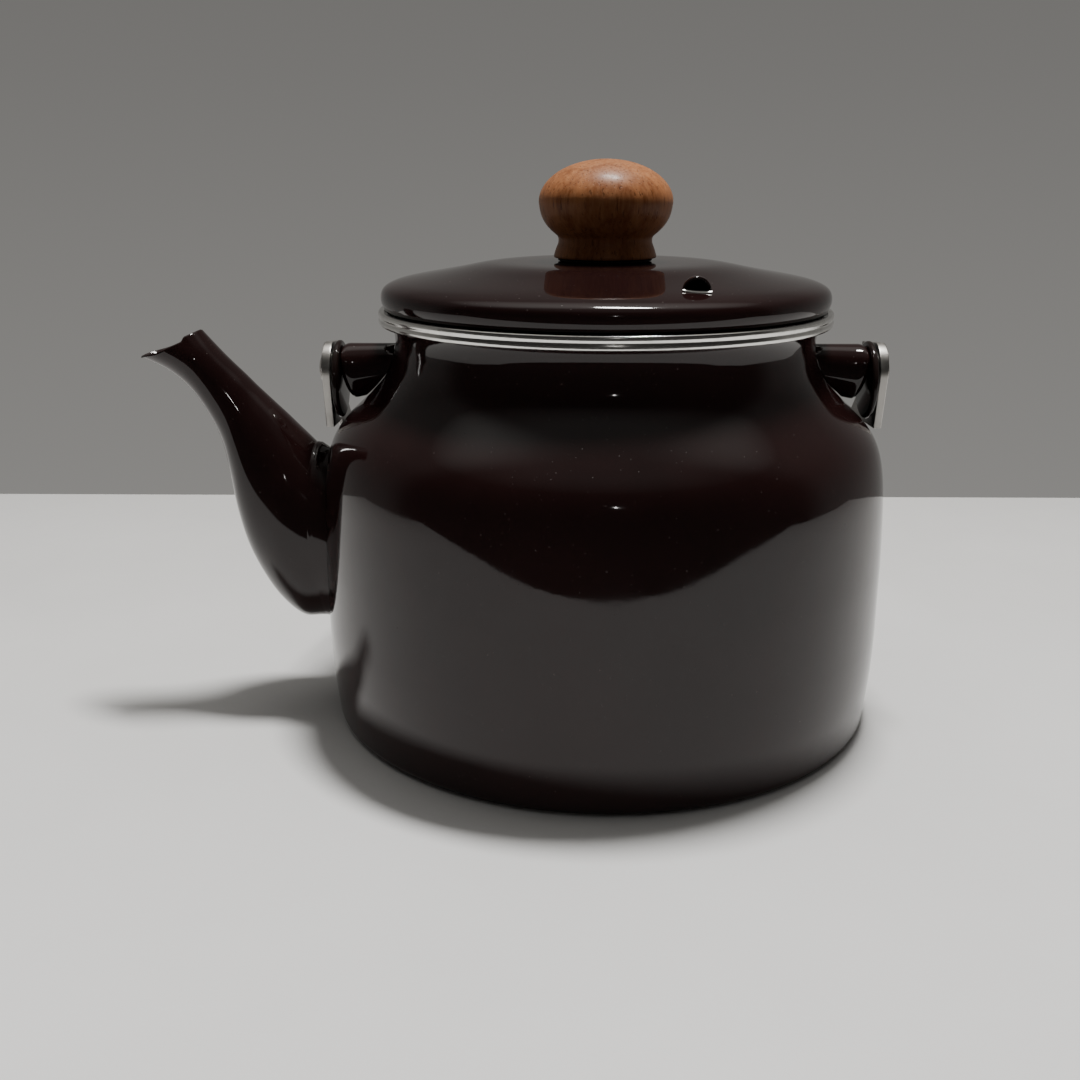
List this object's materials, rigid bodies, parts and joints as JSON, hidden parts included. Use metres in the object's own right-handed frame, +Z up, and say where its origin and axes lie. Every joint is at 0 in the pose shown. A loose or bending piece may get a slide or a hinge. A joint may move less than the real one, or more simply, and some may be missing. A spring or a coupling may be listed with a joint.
{
  "type": "enamelled gooseneck kettle",
  "caption": "Squat round enamelled stovetop kettle with a gooseneck spout, folding bail handle and lift-off domed lid with a wooden knob.",
  "frame": {"origin": "middle of the flat base, on the table plane", "axes": "+Z up; the spout points to -X; the handle's hinge line is parallel to X and its grip lies folded to +Y"},
  "size_m": [0.2522, 0.215, 0.185],
  "materials": {
    "enamel": "glossy dark brown vitreous enamel on steel, smooth",
    "bright_steel": "polished stainless steel with fine handling marks",
    "dark_disc": "glossy dark plate",
    "turned_wood": "warm brown turned wood, satin varnish",
    "knob_seat": "thin matt black washer"
  },
  "bodies": {
    "kettle": {"body_shell": "enamel", "rim_band": "bright_steel", "spout": "enamel", "spout_collar": "enamel", "ear_left": "enamel", "ear_right": "enamel", "ear_disc_left": "dark_disc", "ear_disc_right": "dark_disc", "pivot_washer_left": "bright_steel", "pivot_washer_right": "bright_steel", "pivot_rivet_left": "bright_steel", "pivot_rivet_right": "bright_steel"},
    "bail": {"bail_arm_left": "bright_steel", "bail_arm_right": "bright_steel", "bail_grip": "turned_wood", "grip_ferrule_left": "bright_steel", "grip_ferrule_right": "bright_steel", "grip_pin_left": "bright_steel", "grip_pin_right": "bright_steel"},
    "lid": {"lid_shell": "enamel", "lid_flange": "enamel", "knob": "turned_wood", "knob_seat": "knob_seat", "knob_screw": "bright_steel", "knob_screw_washer": "bright_steel"}
  },
  "joints": [
    {"name": "bail_swing", "type": "hinge", "parent": "kettle", "child": "bail", "pos_m": [0, 0, 0.1173], "axis": [1, 0, 0], "range_deg": [0, 260]},
    {"name": "lid_lift", "type": "slide", "parent": "kettle", "child": "lid", "axis": [0, 0, 1], "range_m": [0, 0.04]}
  ]
}
